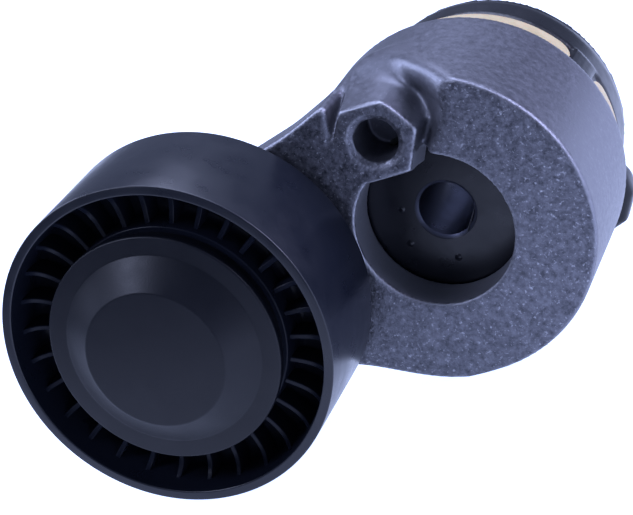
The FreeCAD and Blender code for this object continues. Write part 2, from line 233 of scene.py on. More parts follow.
def lathe(profile: Array, centre: tuple[float, float] = PIVOT, segments: int = 192) -> Mesh:
    """Closed profile carried round an axis.

    A point at angle t is centre + radius * (cos t, sin t) at the profile's forward place. Profile points on
    the axis become one pole each.

    Args:
        profile: m by 2 array of (radius, forward), counter-clockwise with radius to the right and forward up.
        centre: axis as (across, up).
        segments: divisions round the axis.

    Returns:
        The mesh, facing outwards.
    """
    count = len(profile)
    turn = np.linspace(0, 2 * np.pi, segments, endpoint=False)[:, None]
    radius, forward = np.maximum(profile[:, 0], 0)[None, :], profile[:, 1][None, :]
    grid = np.stack([centre[0] + radius * np.cos(turn), centre[1] + radius * np.sin(turn),
                     np.broadcast_to(forward, (segments, count))], axis=-1)
    index = np.arange(segments * count).reshape(segments, count)
    on_axis = profile[:, 0] < 1e-6
    index[:, on_axis] = index[0, on_axis]
    after, above = np.roll(index, -1, axis=0), np.roll(index, -1, axis=1)
    both = np.roll(after, -1, axis=1)
    faces = np.stack([index, after, both, above], axis=-1).reshape(-1, 4)
    return tidied(grid.reshape(-1, 3), faces)


def tidied(points: Array, faces: Array) -> Mesh:
    """Drops loose points and faces shrunk to a line, and makes triangles of faces with a doubled corner.

    Args:
        points: n by 3 array.
        faces: m by 4 array of point numbers.

    Returns:
        The mesh; a triangle is a row whose first number comes again at its end.
    """
    same = faces == np.roll(faces, -1, axis=1)
    faces = faces[same.sum(1) < 2]
    same = faces == np.roll(faces, -1, axis=1)
    doubled = same.any(1)
    triangles = faces[doubled]
    shift = np.argmax(same[doubled], axis=1)[:, None]
    order = (np.arange(4)[None, :] + shift + 1) % 4
    triangles = np.take_along_axis(triangles, order, axis=1)
    triangles[:, 3] = triangles[:, 0]
    faces = np.vstack([faces[~doubled], triangles])
    used, compact = np.unique(faces, return_inverse=True)
    return Mesh(points[used], compact.reshape(faces.shape))


def tube(points: Array, rows: int, flip: bool = False) -> Mesh:
    """Closed bar from rows of six points each, with a cap of two quads at each end.

    Args:
        points: rows times six points, row by row, each row in order round the bar.
        rows: number of rows.
        flip: turns the faces the other way round.

    Returns:
        The mesh.
    """
    index = np.arange(rows * 6).reshape(rows, 6)
    after = np.roll(index, -1, axis=1)
    sides = np.stack([index[:-1], after[:-1], after[1:], index[1:]], axis=-1).reshape(-1, 4)
    first, last = index[0], index[-1]
    caps = np.array([first[[0, 5, 4, 1]], first[[1, 4, 3, 2]], last[[0, 1, 4, 5]], last[[1, 2, 3, 4]]])
    faces = np.vstack([sides, caps])
    return Mesh(points, faces if flip else faces[:, ::-1])


# ---------------------------------------------------------------------------------------- distance fields

def smooth_low(first: Array, second: Array, reach: float) -> Array:
    """Lower of two fields, blended where they differ by less than the reach, which leaves a fillet.

    With h = max(reach - |first - second|, 0) / reach the result is min(first, second) - h * h * reach / 4.

    Args:
        first: a field.
        second: the other field.
        reach: difference in millimetres below which they blend.

    Returns:
        The blended field.
    """
    part = np.maximum(reach - np.abs(first - second), 0) / reach
    return np.minimum(first, second) - part * part * reach / 4


def smooth_high(first: Array, second: Array, reach: float) -> Array:
    """Higher of two fields, blended in the same way; it leaves a rounded edge."""
    return -smooth_low(-first, -second, reach)


@dataclass
class Grid:
    """Points at which a distance field is worked out, all in millimetres.

    Behind fine_from, where only round walls run, the forward step is twice as long.
    """

    low: Sequence[float]
    high: Sequence[float]
    step: float
    fine_from: float

    def places(self) -> list[Array]:
        """Grid places along across, up and forward."""
        across, up = [np.arange(a, b + self.step, self.step) for a, b in zip(self.low[:2], self.high[:2])]
        count = round((self.fine_from - self.low[2]) / (2 * self.step))
        rear = np.linspace(self.low[2], self.fine_from, count, endpoint=False)
        return [across, up, np.append(rear, np.arange(self.fine_from, self.high[2] + self.step, self.step))]

    def axes(self) -> list[Array]:
        """The places, shaped so that they broadcast against each other."""
        shapes = [(-1, 1, 1), (1, -1, 1), (1, 1, -1)]
        return [place.reshape(shape) for place, shape in zip(self.places(), shapes)]

    def surface(self, values: Array) -> Mesh:
        """Meshes the zero surface of a field.

        Every cell whose corners have both signs gets one vertex, at the mean of the places where its twelve
        edges cross zero. Every grid edge that crosses zero gets one face between the four cells round it.

        Args:
            values: field at the grid points, negative inside.

        Returns:
            The closed mesh, facing outwards.
        """
        values = np.where(np.abs(values) < 1e-6, 1e-6, values)
        inside = values < 0
        total = np.zeros(tuple(n - 1 for n in values.shape) + (3,))
        count = np.zeros(total.shape[:3])
        for axis in range(3):
            first, second = self._pair(values, axis)
            crossing = (first < 0) != (second < 0)
            along = np.where(crossing, first / np.where(crossing, first - second, 1), 0)
            others = [other for other in range(3) if other != axis]
            for near in (0, 1):
                for far in (0, 1):
                    cut = [slice(None)] * 3
                    cut[others[0]] = slice(near, near + total.shape[others[0]])
                    cut[others[1]] = slice(far, far + total.shape[others[1]])
                    hit = crossing[tuple(cut)]
                    count += hit
                    total[..., axis] += along[tuple(cut)]
                    total[..., others[0]] += hit * near
                    total[..., others[1]] += hit * far
        used = count > 0
        where = np.argwhere(used)
        position = where + total[used] / count[used][:, None]
        points = np.column_stack([np.interp(position[:, axis], np.arange(len(place)), place)
                                  for axis, place in enumerate(self.places())])
        index = np.full(used.shape, -1)
        index[used] = np.arange(len(where))
        faces = []
        for axis in range(3):
            first, second = self._pair(inside, axis)
            others = [(axis + 1) % 3, (axis + 2) % 3]
            hits = np.argwhere(first != second)
            hits = hits[(hits[:, others[0]] > 0) & (hits[:, others[1]] > 0)
                        & (hits[:, others[0]] < values.shape[others[0]] - 1)
                        & (hits[:, others[1]] < values.shape[others[1]] - 1)]
            offsets = np.zeros((4, 3), int)
            offsets[[0, 3], others[0]] = -1
            offsets[[0, 1], others[1]] = -1
            cells = hits[:, None, :] + offsets[None, :, :]
            quads = index[cells[..., 0], cells[..., 1], cells[..., 2]]
            outwards = first[tuple(hits.T)]
            faces.append(np.where(outwards[:, None], quads, quads[:, ::-1]))
        return Mesh(points, np.vstack(faces))

    @staticmethod
    def _pair(values: Array, axis: int) -> tuple[Array, Array]:
        """The field at both ends of every grid edge along an axis.

        Args:
            values: field at the grid points.
            axis: 0 for across, 1 for up, 2 for forward.

        Returns:
            The field at the near ends and at the far ends.
        """
        near, far = [slice(None)] * 3, [slice(None)] * 3
        near[axis], far[axis] = slice(0, -1), slice(1, None)
        return values[tuple(near)], values[tuple(far)]


def radius_from(centre: tuple[float, float], across: Array, up: Array) -> Array:
    """Distance from an axis."""
    return np.hypot(across - centre[0], up - centre[1])


def along_from(centre: tuple[float, float], degrees: float, across: Array, up: Array) -> Array:
    """Distance from a centre along a direction, which is negative behind the centre.

    Args:
        centre: (across, up) of the centre.
        degrees: the direction's angle from across towards up.
        across: across places.
        up: up places.

    Returns:
        The distance.
    """
    turn = math.radians(degrees)
    return (across - centre[0]) * math.cos(turn) + (up - centre[1]) * math.sin(turn)


def hexagon_field(centre: tuple[float, float], across: Array, up: Array, corner: float) -> Array:
    """Distance from a hexagon's centre measured square to its nearest flat: the largest of six projections.

    Args:
        centre: the hexagon's centre.
        across: across places.
        up: up places.
        corner: angle of one corner, in degrees.

    Returns:
        The distance; less half the size across flats it is the signed distance to the flats.
    """
    normals = [corner + 30 + 60 * turn for turn in range(3)]
    return np.maximum.reduce([np.abs(along_from(centre, normal, across, up)) for normal in normals])


def polygon_field(corners: Sequence[tuple[float, float]], across: Array, up: Array) -> Array:
    """Signed distance to a polygon: the least distance to an edge, negative inside.

    A point is inside where a ray from it crosses an odd number of edges.

    Args:
        corners: (across, up) of each corner in order.
        across: across places.
        up: up places.

    Returns:
        The distance.
    """
    best, inside = np.inf, False
    table = np.asarray(corners, float)
    for start, stop in zip(table, np.roll(table, -1, axis=0)):
        edge = stop - start
        across_from, up_from = across - start[0], up - start[1]
        share = np.clip((across_from * edge[0] + up_from * edge[1]) / (edge @ edge), 0, 1)
        gap = np.hypot(across_from - share * edge[0], up_from - share * edge[1])
        crosses = ((up >= start[1]) != (up >= stop[1])) & (
            across < start[0] + (up - start[1]) * edge[0] / (edge[1] if edge[1] else 1e-9))
        best = np.minimum(best, gap)
        inside = inside ^ crosses
    return np.where(inside, -best, best)


# ---------------------------------------------------------------------------------------- materials

def linear(colour: str) -> tuple[float, float, float, float]:
    """Turns an sRGB hex colour into linear values.

    Each channel c gives ((c + 0.055) / 1.055) ^ 2.4, or c / 12.92 up to 0.04045.

    Args:
        colour: such as "#0d1018".

    Returns:
        Red, green and blue, and an opacity of 1.
    """
    channels = [int(colour[i:i + 2], 16) / 255 for i in (1, 3, 5)]
    return (*[c / 12.92 if c <= 0.04045 else ((c + 0.055) / 1.055) ** 2.4 for c in channels], 1.0)


def patch(size: float, detail: float = 3.0, rough: float = 0.55) -> dict[str, float]:
    """Settings of a noise whose patches have a real size.

    Args:
        size: size of one patch in millimetres.
        detail: octaves.
        rough: weight of the finer octaves.

    Returns:
        The noise's input values by name.
    """
    return {"Scale": 1 / (size * MM), "Detail": detail, "Roughness": rough}


class Shader:
    """A material while it is made: its nodes, and the shader that they feed."""

    def __init__(self, name: str, colour: str, roughness: float, metallic: float = 0.0,
                 gloss: float = 0.5) -> None:
        """Makes the shader.

        Args:
            name: the real material and process.
            colour: sRGB hex colour.
            roughness: base roughness.
            metallic: 1 for metals.
            gloss: strength of the clear reflection; 0.5 is a plain plastic, and fine grain lowers it.
        """
        self.material = bpy.data.materials.new(name)
        self.material.use_nodes = True
        self.tree = self.material.node_tree
        self.inputs = self.tree.nodes["Principled BSDF"].inputs
        self.inputs["Base Color"].default_value = linear(colour)
        self.inputs["Roughness"].default_value = roughness
        self.inputs["Metallic"].default_value = metallic
        self.inputs["Specular IOR Level"].default_value = gloss
        self.where = self.add("TexCoord").outputs["Object"]

    def add(self, kind: str, settings: dict | None = None, links: dict | None = None,
            **properties: str) -> bpy.types.Node:
        """Adds a node with its settings and links.

        Args:
            kind: node type, without the word that all of them start with.
            settings: input values by name or place.
            links: sockets that feed the inputs, by name or place.
            properties: node properties.

        Returns:
            The node.
        """
        node = self.tree.nodes.new("ShaderNode" + kind)
        for key, value in properties.items():
            setattr(node, key, value)
        for key, value in (settings or {}).items():
            node.inputs[key].default_value = value
        for key, source in (links or {}).items():
            self.tree.links.new(source, node.inputs[key])
        return node

    def feed(self, name: str, source: bpy.types.NodeSocket) -> None:
        """Links a socket to one of the shader's inputs."""
        self.tree.links.new(source, self.inputs[name])

    def uneven(self, size: float, amount: float, detail: float = 3.0) -> None:
        """Varies the roughness about its set value, the way handling and the mould leave it.

        Args:
            size: size of one patch in millimetres.
            amount: most that it differs by.
            detail: octaves.
        """
        middle = self.inputs["Roughness"].default_value
        noise = self.add("TexNoise", patch(size, detail), {"Vector": self.where})
        level = self.add("MapRange", {"From Min": 0.3, "From Max": 0.7, "To Min": middle - amount,
                                      "To Max": middle + amount}, {"Value": noise.outputs["Fac"]})
        self.feed("Roughness", level.outputs["Result"])

    def relief(self, height: bpy.types.NodeSocket, depth: float, strength: float) -> None:
        """Raises and lowers the surface.

        Args:
            height: height socket, from 0 to 1.
            depth: millimetres between 0 and 1.
            strength: share of it that shows.
        """
        bump = self.add("Bump", {"Strength": strength, "Distance": depth * MM}, {"Height": height})
        self.feed("Normal", bump.outputs["Normal"])


@dataclass(frozen=True)
class Moulding:
    """Moulded plastic or rubber. The eye sees a satin skin: soft broad highlights, very finely broken up."""

    name: str
    colour: str
    roughness: float
    grain_depth: float
    gloss: float = 0.3
    grain_size: float = 0.35

    def shader(self) -> Shader:
        """The shader, with uneven patches and the mould's grain."""
        made = Shader(self.name, self.colour, self.roughness, gloss=self.gloss)
        made.uneven(6.0, 0.05)
        grain = made.add("TexNoise", patch(self.grain_size, 2.0), {"Vector": made.where})
        made.relief(grain.outputs["Fac"], self.grain_depth, 0.6)
        return made


@dataclass(frozen=True)
class RibbedMoulding(Moulding):
    """The pulley's moulding. The eye sees a satin rim, and a duller skin between the ribs.

    Nothing rubs the skin there, so it is less glossy. Its colour there is painted lighter as well: painted
    fill light in the hollows. The wheel's attribute for the hollows is 1 between the ribs.
    """

    # Painted fill light: the lighter colour of the hollows between the ribs.
    dull_colour: str = "#12151e"
    dull_gloss: float = 0.12

    def shader(self) -> Shader:
        """The moulding's shader, with the less glossy skin and the painted fill light between the ribs."""
        made = super().shader()
        dull = made.add("Attribute", attribute_name="dull").outputs["Fac"]
        # Painted light: between the ribs the colour turns lighter, standing in for fill light in the hollows.
        colour = made.add("Mix", {6: linear(self.colour), 7: linear(self.dull_colour)}, {0: dull},
                          data_type="RGBA")
        gloss = made.add("MapRange", {"To Min": self.gloss, "To Max": self.dull_gloss}, {"Value": dull})
        made.feed("Base Color", colour.outputs[2])
        made.feed("Specular IOR Level", gloss.outputs["Result"])
        return made


@dataclass(frozen=True)
class BlastedCasting:
    """Shot-blasted aluminium. The eye sees a cool mottled grey with painted glints, and bright edges that are
    partly wear and partly painted highlight.

    The cells are drawn about twice as coarse as real shot marks, so that they are seen at arm's length. The
    casting's attribute "blasted" says how deep the marks are, and a second attribute how far an edge is
    painted bright, as wear and as painted highlight.
    """

    name: str
    dark: str = "#3d3e44"
    light: str = "#6c6d75"
    # Wear and painted highlight: the bright colour of rubbing, edge highlights and glints.
    highlight_and_wear_colour: str = "#b4b6be"
    metallic: float = 0.8
    roughness: tuple[float, float] = (0.36, 0.56)
    cell: float = 1.3
    # Size of the painted glints' patches, in millimetres.
    glint_size: float = 0.6
    mark: float = 0.8
    mark_depth: float = 0.15

    def shader(self) -> Shader:
        """The shader: mottled grey, painted glints and edge highlight with wear over it, then the relief."""
        made = Shader(self.name, self.dark, self.roughness[0], self.metallic)
        vector = {"Vector": made.where}
        blasted = made.add("Attribute", attribute_name="blasted").outputs["Fac"]
        # Painted highlight and wear: the bright edges and the lightened turned wall.
        wear_and_highlight = made.add("Attribute", attribute_name="wear_and_highlight").outputs["Fac"]
        cells = made.add("TexNoise", patch(self.cell, 6.0, 0.75), vector).outputs["Fac"]
        glint_noise = made.add("TexNoise", patch(self.glint_size), vector).outputs["Fac"]
        marks = made.add("TexNoise", patch(self.mark, 4.0, 0.65), vector).outputs["Fac"]
        centred = made.add("MapRange", {"From Min": 0.36, "From Max": 0.66, "To Min": -0.5, "To Max": 0.5},
                           {"Value": cells})
        mottle = made.add("Math", links={0: centred.outputs["Result"], 1: blasted}, operation="MULTIPLY")
        shade = made.add("MapRange", {"From Min": -0.5, "From Max": 0.5}, {"Value": mottle.outputs[0]})
        grey = made.add("Mix", {6: linear(self.dark), 7: linear(self.light)}, {0: shade.outputs["Result"]},
                        data_type="RGBA")
        # Painted glints: the highlight colour in scattered points over the blasted face.
        sparse = made.add("MapRange", {"From Min": 0.6, "From Max": 0.78, "To Max": 0.7}, {"Value": glint_noise})
        glints = made.add("Math", links={0: sparse.outputs["Result"], 1: blasted}, operation="MULTIPLY")
        either = made.add("Math", links={0: glints.outputs[0], 1: wear_and_highlight}, operation="MAXIMUM")
        bright = made.add("Mix", {7: linear(self.highlight_and_wear_colour)}, {0: either.outputs[0], 6: grey.outputs[2]},
                          data_type="RGBA")
        satin = made.add("MapRange", {"From Min": 0.3, "From Max": 0.7, "To Min": self.roughness[0],
                                      "To Max": self.roughness[1]}, {"Value": cells})
        height = made.add("Math", links={0: marks, 1: blasted}, operation="MULTIPLY")
        made.feed("Base Color", bright.outputs[2])
        made.feed("Roughness", satin.outputs["Result"])
        made.relief(height.outputs[0], self.mark_depth, 0.9)
        return made


@dataclass(frozen=True)
class Electrocoat:
    """Black electrocoated casting. The eye sees a smooth film with soft highlights, and metal in the bore.

    The post's attribute "bare" is 1 in its bore; where a piece has no such attribute, all of it is coated.
    """

    name: str
    colour: str
    roughness: float
    metal: str = "#5a5d6b"

    def shader(self) -> Shader:
        """The shader, with the coat's slight orange peel."""
        made = Shader(self.name, self.colour, self.roughness, gloss=0.3)
        made.uneven(4.0, 0.06)
        bare = made.add("Attribute", attribute_name="bare").outputs["Fac"]
        colour = made.add("Mix", {6: linear(self.colour), 7: linear(self.metal)}, {0: bare}, data_type="RGBA")
        made.feed("Base Color", colour.outputs[2])
        made.feed("Metallic", bare)
        peel = made.add("TexNoise", patch(1.2), {"Vector": made.where})
        made.relief(peel.outputs["Fac"], 0.03, 0.6)
        return made


@dataclass(frozen=True)
class BareMetal:
    """Ground, pressed or plated steel. The eye sees clean reflections with fine uneven polish.

    The polish's patches have the size "grain", in millimetres.
    """

    name: str
    colour: str
    roughness: float
    grain: float

    def shader(self) -> Shader:
        """The shader, with patches of polish and a fine relief."""
        made = Shader(self.name, self.colour, self.roughness, 1.0)
        made.uneven(self.grain, 0.07, 4.0)
        fine = made.add("TexNoise", patch(self.grain * 0.4), {"Vector": made.where})
        made.relief(fine.outputs["Fac"], 0.01, 0.5)
        return made


@dataclass(frozen=True)
class NaturalNylon:
    """Unfilled nylon. The eye sees a warm cream that light sinks into a little, with faint flow patches."""

    name: str
    dark: str = "#978763"
    light: str = "#a49573"
    roughness: float = 0.45
    sinks: float = 0.12
    flow: float = 7.0

    def shader(self) -> Shader:
        """The shader, with flow patches and a depth of one millimetre for the light that sinks in."""
        made = Shader(self.name, self.light, self.roughness)
        made.inputs["Subsurface Weight"].default_value = self.sinks
        made.inputs["Subsurface Scale"].default_value = 1.0 * MM
        noise = made.add("TexNoise", patch(self.flow, 2.0), {"Vector": made.where})
        share = made.add("MapRange", {"From Min": 0.35, "From Max": 0.65}, {"Value": noise.outputs["Fac"]})
        cream = made.add("Mix", {6: linear(self.dark), 7: linear(self.light)}, {0: share.outputs["Result"]},
                         data_type="RGBA")
        made.feed("Base Color", cream.outputs[2])
        return made


class Shelf:
    """Every material once, by the record's slot name."""

    def __init__(self) -> None:
        """Makes the materials."""
        finishes = {
            "black_plastic": RibbedMoulding("Glass-filled nylon, moulded, black", "#0d1018", 0.31, 0.006,
                                            0.33),
            "cap_plastic": Moulding("Glass-filled nylon, spark-grained, black", "#090b11", 0.4, 0.03, 0.21),
            "cast_aluminium": BlastedCasting("Die-cast aluminium, shot-blasted"),
            "black_coated_metal": Electrocoat("Cast aluminium, black electrocoat", "#0a0b10", 0.32),
            "cream_nylon": NaturalNylon("Natural nylon, moulded"),
            "bearing_steel": BareMetal("Bearing steel, ground", "#b9bcc4", 0.16, 2.0),
            "pressed_steel": BareMetal("Steel strip, pressed", "#9b9da5", 0.34, 3.0),
            "spring_steel": BareMetal("Spring steel, oil-hardened", "#3a3a40", 0.4, 3.0),
            "seal_rubber": Moulding("Nitrile rubber, moulded", "#131316", 0.62, 0.01),
            "zinc_steel": BareMetal("Steel, zinc-plated", "#aeb2bd", 0.28, 2.5),
            "bush_polymer": Moulding("Filled bearing polymer, dry", "#2c302c", 0.55, 0.01),
        }
        self.by_slot = {slot: finish.shader().material for slot, finish in finishes.items()}

    def dress(self, piece: bpy.types.Object, slot: str) -> bpy.types.Object:
        """Puts a slot's material on a piece.

        Args:
            piece: the object.
            slot: the record's slot name.

        Returns:
            The object.
        """
        piece.data.materials.clear()
        piece.data.materials.append(self.by_slot[slot])
        return piece


# ---------------------------------------------------------------------------------------- pieces

class Assembly:
    """What every sub-assembly has: a body to ride on and the shelf of materials."""

    body = Body.BASE

    def __init__(self, shelf: Shelf) -> None:
        """Keeps the shelf."""
        self.shelf = shelf

    def place(self, mesh: Mesh, name: str, slot: str, *nodes: str, smooth_angle: float = 32.0) -> None:
        """Makes a piece that stands for CAD nodes, dresses it and puts it on its body.

        Args:
            mesh: its surface.
            name: object name.
            slot: the record's material slot.
            nodes: CAD nodes that it replaces.
            smooth_angle: edges sharper than this many degrees stay sharp.
        """
        piece = self.shelf.dress(mesh.object(name, smooth_angle), slot)
        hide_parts(*nodes)
        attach(piece, self.body.value)
        log.info("%s: %d faces", name, len(mesh.faces))


@dataclass(frozen=True)
class WheelSizes:
    """Pulley wheel, millimetres; forward places are from the drum's front face."""

    rim_wall: float = 1.9
    hub: float = 22.5
    lip: float = 18.6
    bore: float = 20.0
    hub_half: float = 8.4
    web_half: float = 2.0
    bearing_half: float = 6.0
    rim_draft: float = 0.5
    hub_draft: float = 0.3
    rim_fillet: float = 2.2
    hub_fillet: float = 1.5
    edge: float = 0.32
    ribs: int = 30
    phase: float = 10.0
    rib_thickness: float = 0.95
    rib_edge: float = 0.14
    rib_foot_flare: float = 0.2
    rib_overlap: float = 0.6
    rib_hub_drop: float = 6.2
    rib_rim_drop: float = 3.0
    rib_sag: float = 0.45
    rib_steps: int = 15


@dataclass(frozen=True)
class CapSizes:
    """Dust cap, millimetres; forward places are from the pulley's front face."""

    disc: float = 13.6
    disc_front: float = 4.95
    thickness: float = 1.85
    cone_foot: float = 19.17
    ring: float = 22.77
    ring_front: float = 0.5
    ring_rear: float = -1.4
    skirt: float = 21.4
    skirt_bore: float = 19.95
    skirt_rear: float = -5.8


class Pulley(Assembly):
    """Wheel and dust cap."""

    body = Body.PULLEY

    def __init__(self, shelf: Shelf) -> None:
        """Sets the sizes."""
        super().__init__(shelf)
        self.sizes = WheelSizes()
        self.cap = CapSizes()
        self.rear, self.front = LAYOUT.pulley_rear, LAYOUT.pulley_front
        self.middle = (self.rear + self.front) / 2

    def wheel_profile(self) -> Array:
        """Section of the rim, web and hub; the bore is stepped, with a lip behind the bearing."""
        s, m = self.sizes, self.middle
        rim = LAYOUT.pulley_radius - s.rim_wall
        rim_foot, hub_foot = rim - s.rim_draft, s.hub + s.hub_draft
        return rounded_profile([
            (LAYOUT.pulley_radius, self.rear, s.edge), (LAYOUT.pulley_radius, self.front, s.edge),
            (rim, self.front, 0.35), (rim_foot, m + s.web_half, s.rim_fillet),
            (hub_foot, m + s.web_half, s.hub_fillet), (s.hub, m + s.hub_half, 0.4),
            (s.bore, m + s.hub_half, 0.3), (s.bore, m - s.bearing_half, 0.0),
            (s.lip, m - s.bearing_half, 0.2), (s.lip, m - s.hub_half, 0.3), (s.hub, m - s.hub_half, 0.4),
            (hub_foot, m - s.web_half, s.hub_fillet), (rim_foot, m - s.web_half, s.rim_fillet),
            (rim, self.rear, 0.35)])

    def ribs(self) -> Mesh:
        """Thin radial ribs on both sides of the web, each with a hollow top that sweeps up into the rim.

        The drop below the rim's face at a share t of the way from hub to rim is the hub drop plus the sag
        times sin(pi t), blended into the rim drop by t to the fifth power.

        Returns:
            The ribs, each a closed bar.
        """
        s = self.sizes
        share = np.linspace(0, 1, s.rib_steps)
        rim = LAYOUT.pulley_radius - s.rim_wall
        radius = s.hub - s.rib_overlap + share * (rim - s.hub + 2 * s.rib_overlap)
        drop = (s.rib_hub_drop + s.rib_sag * np.sin(np.pi * share)
                + (s.rib_rim_drop - s.rib_hub_drop) * share ** 5)
        half, edge = s.rib_thickness / 2, s.rib_edge
        flare = half + s.rib_foot_flare
        across = np.array([-flare, -half, -half + edge, half - edge, half, flare])
        shells = []
        for side, face in ((1, self.front), (-1, self.rear)):
            top = face - side * drop
            foot = np.full(s.rib_steps, self.middle + side * (s.web_half - 0.3))
            height = np.stack([foot, top - side * edge, top, top, top - side * edge, foot], axis=1)
            outwards, sideways = np.broadcast_arrays(radius[:, None], across[None, :])
            for turn in range(s.ribs):
                angle = math.radians(s.phase + 360 / s.ribs * turn)
                cosine, sine = math.cos(angle), math.sin(angle)
                points = np.stack([PULLEY[0] + outwards * cosine - sideways * sine,
                                   PULLEY[1] + outwards * sine + sideways * cosine, height], axis=-1)
                shells.append(tube(points.reshape(-1, 3), s.rib_steps, side < 0))
        return shells[0].joined(*shells[1:])

    def between_ribs(self, points: Array) -> Array:
        """Which points lie in the ribbed hollows, a millimetre or more below the rim's faces.

        Args:
            points: n by 3 array.

        Returns:
            1.0 for each point that does, 0.0 for the others.
        """
        s = self.sizes
        end = radius_from(PULLEY, points[:, 0], points[:, 1])
        rim = LAYOUT.pulley_radius - s.rim_wall
        sunk = np.abs(points[:, 2] - self.middle) < (self.front - self.rear) / 2 - 1.0
        return (sunk & (end > s.hub - 0.7) & (end < rim + 0.7)).astype(float)

    def cap_profile(self) -> Array:
        """Section of the cap: flat disc, hollowed cone, flat ring, and the skirt that snaps into the hub."""
        c, front = self.cap, self.front
        inside = c.disc_front - c.thickness
        return rounded_profile([
            (0, front + inside, 0), (0, front + c.disc_front, 0), (c.disc, front + c.disc_front, 0.7),
            (c.cone_foot, front + c.ring_front, 0.5), (c.ring, front + c.ring_front, 0.45),
            (c.ring, front + c.ring_rear, 0.5), (c.skirt, front + c.ring_rear - 0.2, 0.2),
            (c.skirt, front + c.skirt_rear, 0.3), (c.skirt_bore, front + c.skirt_rear, 0.2),
            (c.skirt_bore, front + c.ring_rear - 0.1, 0.5), (c.cone_foot - 0.57, front + c.ring_rear, 0.5),
            (c.disc - 0.4, front + inside, 0.6)])

    def build(self) -> None:
        """Makes the wheel and the cap."""
        wheel = lathe(self.wheel_profile()[::-1], PULLEY, 256).joined(self.ribs())
        # Between the ribs the gloss is lower and the colour is painted lighter, as painted fill light.
        wheel.attributes["dull"] = self.between_ribs(wheel.points)
        self.place(wheel, "wheel", "black_plastic", "pulley_wheel")
        cap = lathe(self.cap_profile()[::-1], PULLEY, 224)
        self.place(cap, "cap", "cap_plastic", "dust_cap", smooth_angle=40)


@dataclass(frozen=True)
class CastingSizes:
    """Arm casting, millimetres; forward places are from the drum's front face."""

    drum: float = 30.95
    drum_rear: float = 31.1
    drum_rear_edge: float = 1.6
    depth: float = 33.7
    face_edge: float = 0.9
    skirt_bore: float = 28.09
    skirt_step: float = -25.3
    chamber_bore: float = 27.29
    chamber: float = -12.5
    recess: float = 15.4
    recess_floor: float = -9.5
    recess_depth: float = -10.7
    hub_bore: float = 17.01
    hub: float = 19.41
    hub_front: float = -8.0
    hub_rear: float = -49.1
    arm_root: float = 30.49
    arm_end: float = 17.0
    arm_inset: float = 0.15
    arm_thickness: float = 9.0
    arm_edge: float = 3.0
    arm_plate: float = 3.5
    arm_wall: float = 3.0
    arm_rib_half: float = 1.5
    end_boss: float = 13.05
    spigot_seat: float = 12.05
    spigot_seat_front: float = 9.9
    spigot: float = 8.5
    spigot_front: float = 22.2
    spigot_bore: float = 4.0
    pad: float = 11.75
    pad_front: float = -9.6
    pad_rear: float = -22.0
    across_flats: float = 15.0
    hex_corner: float = 3.0
    hex_centre: tuple[float, float] = (-5.1136, 19.6356)
    hex_rear: float = -8.0
    hex_foot: float = -13.5
    hex_draft: float = 0.13
    hex_hole: float = 4.33
    hex_step: float = 5.2
    hex_step_depth: float = 0.6
    hole_depth: float = 10.5


